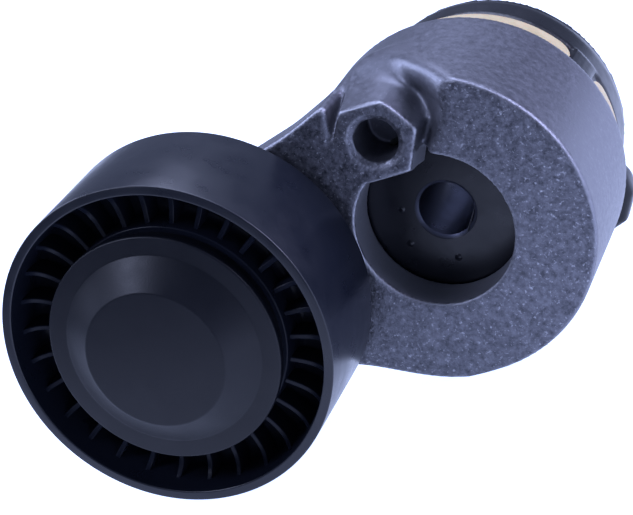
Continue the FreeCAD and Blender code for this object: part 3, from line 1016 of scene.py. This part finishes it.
class Casting(Assembly):
    """Drum, arm, hexagon boss and the boss behind the pulley, in one piece."""

    body = Body.ARM

    def __init__(self, shelf: Shelf) -> None:
        """Sets the sizes and the grid."""
        super().__init__(shelf)
        self.sizes = CastingSizes()
        self.grid = Grid((-64.6, -32.6, -50.4), (32.2, 32.8, 23.4), 0.54, fine_from=-14.76)

    def plan(self, across: Array, up: Array, grow: float) -> Array:
        """Signed distance to the arm's outline: a circle at the drum, one at the pulley, and straight sides.

        With b the difference of the radii over the length and a = sqrt(1 - b * b), a point at (side, along)
        lies beside a straight side when -b * side + a * along is between 0 and a * length; its distance there
        is a * side + b * along less the root's radius.

        Args:
            across: across places.
            up: up places.
            grow: width added all round; negative shrinks.

        Returns:
            The distance.
        """
        s = self.sizes
        length = LAYOUT.arm_length
        b = (s.arm_root - s.arm_end) / length
        a = math.sqrt(1 - b * b)
        along, side = -across, np.abs(up)
        key = -b * side + a * along
        straight = side * a + along * b - s.arm_root
        near = np.hypot(along, side) - s.arm_root
        far = np.hypot(along - length, side) - s.arm_end
        return np.where(key < 0, near, np.where(key > a * length, far, straight)) - grow

    def shell(self, across: Array, up: Array, forward: Array) -> Array:
        """Drum, arm and the pad behind the hexagon, then the hollows under the arm and in the drum.

        Args:
            across: across places.
            up: up places.
            forward: forward places.

        Returns:
            The field.
        """
        s = self.sizes
        rho = radius_from(PIVOT, across, up)
        end = radius_from(PULLEY, across, up)
        hexed = radius_from(s.hex_centre, across, up)
        draft = (s.drum_rear - s.drum) / s.depth
        side = rho - s.drum + draft * np.minimum(forward, 0)
        drum = smooth_high(side, -s.depth - forward, s.drum_rear_edge)
        arm = smooth_high(self.plan(across, up, -s.arm_inset), -s.arm_thickness - forward, s.arm_edge)
        # The arm's outline fades out over the pivot, so that it leaves no ring on the far side of the drum.
        arm = np.maximum(arm, 0.3 * (across + 5.0))
        body = smooth_low(drum, arm, 3.0)
        pad = smooth_high(smooth_high(hexed - s.pad, s.pad_rear - forward, 4.0), forward - s.pad_front, 1.0)
        body = smooth_high(smooth_low(body, pad, 1.6), forward, s.face_edge)

        hollow = smooth_high(self.plan(across, up, -s.arm_wall), forward + s.arm_plate, 2.0)
        hollow = smooth_high(hollow, -(rho - s.drum_rear), 2.0)
        hollow = smooth_high(hollow, -(end - s.end_boss), 2.0)
        hollow = smooth_high(hollow, s.arm_rib_half - np.abs(up), 1.5)
        body = smooth_high(body, -hollow, 1.0)
        skirt = np.where(forward < s.skirt_step, s.skirt_bore, s.chamber_bore)
        return smooth_high(body, -smooth_high(rho - skirt, forward - s.chamber, 2.0), 0.8)

    def hexagon(self, across: Array, up: Array, forward: Array) -> tuple[Array, Array]:
        """The hexagon boss, with a lowered crown and draft, and its foot on the hub.

        Args:
            across: across places.
            up: up places.
            forward: forward places.

        Returns:
            The fields of the boss and of the foot.
        """
        s = self.sizes
        rho = radius_from(PIVOT, across, up)
        flats = hexagon_field(s.hex_centre, across, up, s.hex_corner) - s.across_flats / 2
        crown = along_from(s.hex_centre, s.hex_corner + 60, across, up) - s.across_flats / math.sqrt(3)
        flats = smooth_high(flats, crown + 0.2 - 0.11 * forward, 1.5)
        flats = flats + s.hex_draft * np.clip(forward, -11.0, 0)
        top = smooth_high(flats, forward, 0.6)
        boss = smooth_high(top, s.hex_rear - forward, 0.8)
        foot = smooth_high(np.maximum(top, s.hex_foot - forward), s.recess - rho, 0.8)
        return boss, np.maximum(foot, s.hub_bore - rho)

    def field(self) -> Array:
        """Works out the casting's field: shell, hub and recess, hexagon, then the spigot and the holes."""
        s = self.sizes
        across, up, forward = self.grid.axes()
        rho = radius_from(PIVOT, across, up)
        end = radius_from(PULLEY, across, up)
        hexed = radius_from(s.hex_centre, across, up)
        hub = np.maximum(np.maximum(rho - s.hub, s.hub_rear - forward), forward - s.hub_front)
        body = np.minimum(self.shell(across, up, forward), hub)
        body = np.maximum(body, -np.maximum(rho - s.hub_bore, forward - s.recess_floor))
        body = smooth_high(body, -np.maximum(rho - s.recess, s.recess_depth - forward), 0.6)
        body = smooth_high(body, -self.pocket(across, up, forward), 1.4)
        boss, foot = self.hexagon(across, up, forward)
        body = np.minimum(np.maximum(smooth_low(body, foot, 2.2), forward), boss)
        spigot = np.minimum(np.maximum(end - s.spigot_seat, forward - s.spigot_seat_front),
                            smooth_high(end - s.spigot, forward - s.spigot_front, 0.6))
        body = np.minimum(body, np.maximum(spigot, -s.arm_thickness - forward))
        body = smooth_high(body, -np.maximum(hexed - s.hex_hole, -s.hole_depth - forward), 0.3)
        body = smooth_high(body, -np.maximum(hexed - s.hex_step, -s.hex_step_depth - forward), 0.35)
        return np.maximum(body, -np.maximum(end - s.spigot_bore, -2.0 - forward))

    def pocket(self, across: Array, up: Array, forward: Array) -> Array:
        """Room for a socket round the hexagon, open to the recess and past the drum's side.

        Its floor falls away outwards. From the feet of the two right-hand flats a slope climbs to the drum's
        face: its height is the floor's plus the steepness times the distance beyond its start.

        Args:
            across: across places.
            up: up places.
            forward: forward places.

        Returns:
            The field of the room, negative in the air.
        """
        s = self.sizes
        corner_radius = s.across_flats / math.sqrt(3)
        corners = [(1.0, 13.4), (8.4, 15.0), (13.0, 24.0), (13.5, 34.0)]
        for r, t in ((s.drum_rear, 122), (corner_radius + 2.3, 131), (corner_radius + 0.2, 178)):
            turn = math.radians(t)
            corners.append((s.hex_centre[0] + r * math.cos(turn), s.hex_centre[1] + r * math.sin(turn)))
        corners.append(s.hex_centre)
        rho = radius_from(PIVOT, across, up)
        fall = 2.4 * np.clip((rho - 18.0) / 7.0, 0, 1) + 4.5 * np.clip((rho - 26.0) / 5.0, 0, 1.3) ** 2
        floor = -7.8 - fall
        air = smooth_high(polygon_field(corners, across, up), floor - forward, 3.0)
        for normal, steepness, start, reach in ((33.0, 1.25, 1.5, 2.0), (-27.0, 2.7, 0.8, 5.0)):
            beyond = along_from(s.hex_centre, normal, across, up) - s.across_flats / 2 - start
            slope = (floor + steepness * beyond - forward) / math.sqrt(1 + steepness ** 2)
            air = smooth_high(air, slope, reach)
        return air

    def wear_and_highlight(self, points: Array, values: Array) -> Array:
        """How far each point is painted bright, as wear and as painted highlight.

        Edges of the front face get wear and painted highlight where the field bends outwards, which its
        second differences over the squared step show. The recess's turned wall is bright too, by half.

        Args:
            points: n by 3 array on the surface.
            values: the casting's field.

        Returns:
            From 0 to 0.9 for each point.
        """
        bend = -6 * values
        for axis in range(3):
            bend = bend + np.roll(values, 1, axis) + np.roll(values, -1, axis)
        cell = np.column_stack([np.searchsorted(place, points[:, axis], side="right") - 1
                                for axis, place in enumerate(self.grid.places())])
        total = np.zeros(len(cell))
        for corner in np.ndindex(2, 2, 2):
            place = np.minimum(cell + corner, np.array(values.shape) - 1)
            total += bend[place[:, 0], place[:, 1], place[:, 2]] / 8 / self.grid.step ** 2
        forward = points[:, 2]
        near_face = np.clip(1 + forward / 1.2, 0, 1)
        edges = np.clip((total - 0.8) / 0.8, 0, 0.9) * near_face
        turned = radius_from(PIVOT, points[:, 0], points[:, 1]) < self.sizes.recess + 0.4
        return np.maximum(edges, 0.5 * (turned & (forward < -0.6) & (forward > -11.0)))

    def build(self) -> None:
        """Makes the casting; its blasted skin fades out behind the front face."""
        values = self.field()
        mesh = self.grid.surface(values)
        # Painted highlight and wear on the front face's edges, and the lightened turned wall.
        mesh.attributes["wear_and_highlight"] = self.wear_and_highlight(mesh.points, values)
        mesh.attributes["blasted"] = np.clip(1.2 + mesh.points[:, 2] / 1.5, 0.25, 1)
        self.place(mesh, "casting", "cast_aluminium", "arm_casting", smooth_angle=75)


@dataclass(frozen=True)
class BaseSizes:
    """Base cup, post and sleeve, millimetres; forward places are from the drum's front face."""

    flange: float = 27.31
    flange_rear: float = -57.0
    flange_front: float = -46.0
    wall: float = 26.91
    wall_front: float = -25.7
    bore: float = 24.31
    floor_rear: float = -56.0
    floor_front: float = -53.0
    pad: float = 17.0
    pad_rear: float = -59.0
    hole: float = 11.0
    first_key: float = 24.5
    key_half: float = 6.5
    key: float = 27.96
    key_rear: float = -47.0
    key_front: float = -34.7
    ear_middle: float = -53.5
    ear_half: float = 3.5
    pin_hole: float = 3.3
    pin_hole_front: float = -51.5
    post: float = 16.0
    post_front: float = -9.8
    post_bore: float = 5.5
    bore_chamfer: float = 0.7
    sleeve_bore: float = 26.98
    sleeve: float = 28.01
    sleeve_edge: float = 0.2
    sleeve_ring_rear: float = -33.4
    segment_rear: float = -43.6
    segment_front: float = -35.5
    segment_corner: float = 3.2
    segment_gap: float = 0.35


class Base(Assembly):
    """Base cup, pivot post and friction sleeve."""

    body = Body.BASE

    def __init__(self, shelf: Shelf) -> None:
        """Sets the sizes."""
        super().__init__(shelf)
        self.sizes = BaseSizes()

    def ear(self, across: Array, up: Array, forward: Array) -> Array:
        """Ear that carries the pin: a flat plate whose outline stands out from the flange.

        Args:
            across: across places.
            up: up places.
            forward: forward places.

        Returns:
            The field.
        """
        s = self.sizes
        beyond = [(-4.0, -24.0), (2.5, -35.0), (4.8, -40.0), (6.6, -51.0), (5.6, -57.5), (-4.0, -68.0)]
        outline = [((s.flange + r) * math.cos(math.radians(t)), (s.flange + r) * math.sin(math.radians(t)))
                   for r, t in beyond]
        faces = np.abs(forward - s.ear_middle) - s.ear_half
        return smooth_high(polygon_field(outline, across, up), faces, 2.4)

    def keys(self, rho: Array, angle: Array, forward: Array) -> Array:
        """Four keys round the wall; past a key's side the distance is the angle beyond it times the radius.

        Args:
            rho: distances from the pivot axis.
            angle: angles round it, in degrees.
            forward: forward places.

        Returns:
            The field.
        """
        s = self.sizes
        turn = np.abs((angle - s.first_key + 45) % 90 - 45)
        sides = np.maximum(turn - s.key_half, 0) * math.radians(27.0) + (turn < s.key_half) * -0.3
        return smooth_high(np.maximum(sides, rho - s.key),
                           np.maximum(s.key_rear - forward, forward - s.key_front), 1.0)

    def cup(self) -> None:
        """Cup with its flange, pad, keys and ear, from one distance field."""
        s = self.sizes
        grid = Grid((-34.2, -34.2, -60.2), (34.2, 34.2, -24.0), 0.62, fine_from=-60.2)
        across, up, forward = grid.axes()
        rho = radius_from(PIVOT, across, up)
        flange = smooth_high(rho - s.flange, s.flange_rear - forward, 5.0)
        flange = smooth_high(flange, forward - s.flange_front, 0.7)
        wall = np.maximum(rho - s.wall, np.maximum(s.floor_rear - forward, forward - s.wall_front))
        pad = smooth_high(rho - s.pad, np.maximum(s.pad_rear - forward, forward + 55.0), 0.6)
        outside = np.minimum(np.minimum(smooth_low(flange, self.ear(across, up, forward), 1.5), wall), pad)
        body = smooth_low(outside, self.keys(rho, np.degrees(np.arctan2(up, across)), forward), 0.5)
        body = np.maximum(body, -np.maximum(rho - s.bore, s.floor_front - forward))
        body = np.maximum(body, s.hole - rho)
        pin_low, pin_high = box_mm("locating_pin")
        middle = (pin_low + pin_high) / 2
        cosine, sine = math.cos(LAYOUT.tilt), math.sin(LAYOUT.tilt)
        centre = (middle[0] * cosine - middle[2] * sine, middle[0] * sine + middle[2] * cosine)
        pin_hole = np.maximum(radius_from(centre, across, up) - s.pin_hole, forward - s.pin_hole_front)
        body = np.maximum(body, -pin_hole)
        self.place(grid.surface(body), "base_cup_shape", "black_coated_metal", "base_cup", smooth_angle=75)

    def post(self) -> None:
        """Post with a chamfered bolt hole and three small ejector marks on its face."""
        s = self.sizes
        profile = rounded_profile([
            (s.post_bore, s.pad_rear, 0.3), (s.hole, s.pad_rear, 0.3), (s.hole, s.floor_front, 0),
            (s.post, s.floor_front, 0), (s.post, s.post_front, 0.6),
            (s.post_bore + s.bore_chamfer, s.post_front, 0), (s.post_bore, s.post_front - s.bore_chamfer, 0)])
        post = lathe(profile[::-1], PIVOT, 128)
        dome = rounded_profile([(r, s.post_front + rise, 0)
                                for r, rise in ((0, -0.4), (0.8, -0.4), (0.75, 0), (0.45, 0.2), (0, 0.24))])
        marks = [lathe(dome[::-1], centre, 24) for centre in ((-8.6, 2.1), (-9.2, -5.2), (-0.8, -10.1))]
        mesh = post.joined(*marks)
        rho = radius_from(PIVOT, mesh.points[:, 0], mesh.points[:, 1])
        mesh.attributes["bare"] = (rho < s.post_bore + 0.5).astype(float)
        self.place(mesh, "post", "black_coated_metal", "pivot_post")

    def sleeve(self) -> None:
        """Sleeve in four segments with rounded ends, and the ring under the skirt that joins them.

        A segment is a rounded rectangle in the unrolled wall. Within a corner radius r of its end, at a
        distance d from the end, each long edge draws in by 0.98 times r - sqrt(r * r - (r - d) ^ 2).
        """
        s = self.sizes
        inner, outer, edge, corner = s.sleeve_bore, s.sleeve, s.sleeve_edge, s.segment_corner
        low, high = s.segment_rear, s.segment_front
        shells = [lathe(rounded_profile([
            (inner, s.sleeve_ring_rear, 0), (outer, s.sleeve_ring_rear, 0), (outer, s.wall_front, edge),
            (inner, s.wall_front, edge)])[::-1], PIVOT, 160)]
        half = 45 - s.key_half - math.degrees(s.segment_gap / outer)
        length = 2 * math.radians(half) * outer
        ends = corner * (1 - np.cos(np.linspace(0, np.pi / 2, 10)))
        distance = np.concatenate([ends, np.linspace(corner, length - corner, 40)[1:-1], length - ends[::-1]])
        gap = np.clip(corner - np.minimum(distance, length - distance), 0, corner)
        draw = 0.98 * (corner - np.sqrt(np.maximum(corner ** 2 - gap ** 2, 0)))
        section = ((inner, low + draw), (outer - edge, low + draw), (outer, low + edge + draw),
                   (outer, high - edge - draw), (outer - edge, high - draw), (inner, high - draw))
        for quarter in range(4):
            middle = s.first_key + 45 + 90 * quarter
            angle = np.radians(middle - half) + distance / outer
            rows = [np.stack([radius * np.cos(angle), radius * np.sin(angle), height], axis=-1)
                    for radius, height in section]
            shells.append(tube(np.stack(rows, axis=1).reshape(-1, 3), len(distance), True))
        self.place(shells[0].joined(*shells[1:]), "sleeve", "cream_nylon", "friction_ring")

    def build(self) -> None:
        """Makes the three pieces."""
        self.cup()
        self.post()
        self.sleeve()


class Hardware(Assembly):
    """Bearing, bolt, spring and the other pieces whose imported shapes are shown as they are."""

    def build(self) -> None:
        """Dresses every CAD node that nothing replaces."""
        slots = {part["node"]: part["material_slot"] for part in frame["record"]["subparts"]}
        for name, node in frame["nodes"].items():
            if not node.hide_render:
                self.shelf.dress(node, slots[name])
                node.data.shade_smooth()
                node.data.set_sharp_from_angle(angle=math.radians(30))
                log.info("%s: dressed as %s", name, slots[name])


# ---------------------------------------------------------------------------------------- studio

def sheet(name: str, low: tuple[float, float], high: tuple[float, float], level: float,
          shader: Shader) -> bpy.types.Object:
    """Flat rectangle at a level.

    Args:
        name: object name.
        low: least x and y, in metres.
        high: greatest x and y.
        level: z.
        shader: its finish.

    Returns:
        The object.
    """
    mesh = bpy.data.meshes.new(name)
    corners = [(x, y, level) for x, y in ((low[0], low[1]), (high[0], low[1]), (high[0], high[1]),
                                          (low[0], high[1]))]
    mesh.from_pydata(corners, [], [(0, 1, 2, 3)])
    mesh.materials.append(shader.material)
    made = bpy.data.objects.new(name, mesh)
    bpy.context.scene.collection.objects.link(made)
    return made


@dataclass(frozen=True)
class Softbox:
    """A square area light that points at the part."""

    name: str
    place: tuple[float, float, float]
    size: float
    power: float
    colour: str

    def build(self, target: Vector) -> bpy.types.Object:
        """Makes the light.

        Args:
            target: point it faces.

        Returns:
            The light object.
        """
        light = bpy.data.lights.new(self.name, "AREA")
        light.shape, light.size, light.energy = "SQUARE", self.size, self.power
        light.color = linear(self.colour)[:3]
        made = bpy.data.objects.new(self.name, light)
        made.location = self.place
        made.rotation_euler = (target - Vector(self.place)).to_track_quat("-Z", "Y").to_euler()
        bpy.context.scene.collection.objects.link(made)
        return made


@dataclass(frozen=True)
class Studio:
    """Floor, light and camera."""

    aim: tuple[float, float, float] = (-0.0206, -0.0674, 0.0037)
    azimuth: float = 25.29
    elevation: float = 17.86
    roll: float = 22.8
    distance: float = 0.4057
    lens: float = 122.84
    floor_colour: str = "#8f8f92"
    floor_half: float = 4.0
    glow: str = "#c2d1ff"
    floor_glow: float = 1.75
    sky_glow: float = 0.35
    card_rise: float = 0.0005
    softboxes: tuple[Softbox, ...] = (
        Softbox("softbox_front", (-0.42, -0.56, 0.76), 0.3, 5.5, "#ccd6ff"),
        Softbox("softbox_left", (-0.85, 0.15, 0.55), 0.6, 12.0, "#c8d4ff"),
        Softbox("softbox_right", (0.8, 0.1, 0.35), 0.5, 13.0, "#cfd2ff"),
        Softbox("softbox_top", (0.1, 0.3, 0.9), 0.8, 15.5, "#ccd6ff"))

    def camera(self) -> None:
        """Aims the camera: it looks along the back vector's opposite, rolled about its own axis."""
        azimuth, elevation = math.radians(self.azimuth), math.radians(self.elevation)
        back = Vector((math.sin(azimuth) * math.cos(elevation), -math.cos(azimuth) * math.cos(elevation),
                       math.sin(elevation)))
        right = Vector((0, 0, 1)).cross(back).normalized()
        up = back.cross(right)
        axes = Matrix((right, up, back)).transposed() @ Matrix.Rotation(-math.radians(self.roll), 3, "Z")
        data = bpy.data.cameras.new("camera")
        data.sensor_width, data.lens = 36.0, self.lens
        data.clip_start, data.clip_end = 0.01, 20
        made = bpy.data.objects.new("camera", data)
        made.matrix_world = Matrix.Translation(Vector(self.aim) + back * self.distance) @ axes.to_4x4()
        bpy.context.scene.collection.objects.link(made)
        bpy.context.scene.camera = made

    def floor(self, level: float) -> bpy.types.Object:
        """Backlit floor, which gives off a pale cool light. The eye sees it as an even white.

        Args:
            level: its height.

        Returns:
            The floor.
        """
        acrylic = Shader("Backlit white acrylic", self.floor_colour, 0.9)
        acrylic.inputs["Emission Color"].default_value = linear(self.glow)
        acrylic.inputs["Emission Strength"].default_value = self.floor_glow
        half = self.floor_half
        return sheet("floor", (-half, -half), (half, half), level, acrylic)

    def flag(self, level: float) -> bpy.types.Object:
        """Dark card on the floor before the part. It shows only in reflections, and deepens the front faces.

        Args:
            level: height of the floor.

        Returns:
            The card.
        """
        shader = Shader("Grey card", "#3c3e44", 0.9)
        card = sheet("flag", (-0.8, -0.8), (0.3, -0.185), level + self.card_rise, shader)
        card.visible_camera = card.visible_shadow = card.visible_diffuse = False
        return card

    def sky(self) -> None:
        """Faint even light from all round."""
        world = bpy.data.worlds.new("sky")
        bpy.context.scene.world = world
        world.use_nodes = True
        background = world.node_tree.nodes["Background"]
        background.inputs["Color"].default_value = linear(self.glow)
        background.inputs["Strength"].default_value = self.sky_glow

    def build(self) -> None:
        """Makes the floor under the lowest point, the card, the sky, the softboxes and the camera."""
        level = CAD_BOX[0][2]
        floor = self.floor(level)
        self.sky()
        bpy.context.scene.view_settings.view_transform = "Standard"
        flag = self.flag(level)
        lights = [softbox.build(Vector(self.aim)) for softbox in self.softboxes]
        self.camera()


def main() -> None:
    """Builds the sub-assemblies in order, then the studio."""
    logging.basicConfig(level=logging.INFO, format="%(name)s: %(message)s")
    shelf = Shelf()
    for assembly in (Pulley(shelf), Casting(shelf), Base(shelf), Hardware(shelf)):
        assembly.build()
        log.info("built %s", type(assembly).__name__)
    Studio().build()


if __name__ == "__main__":
    main()
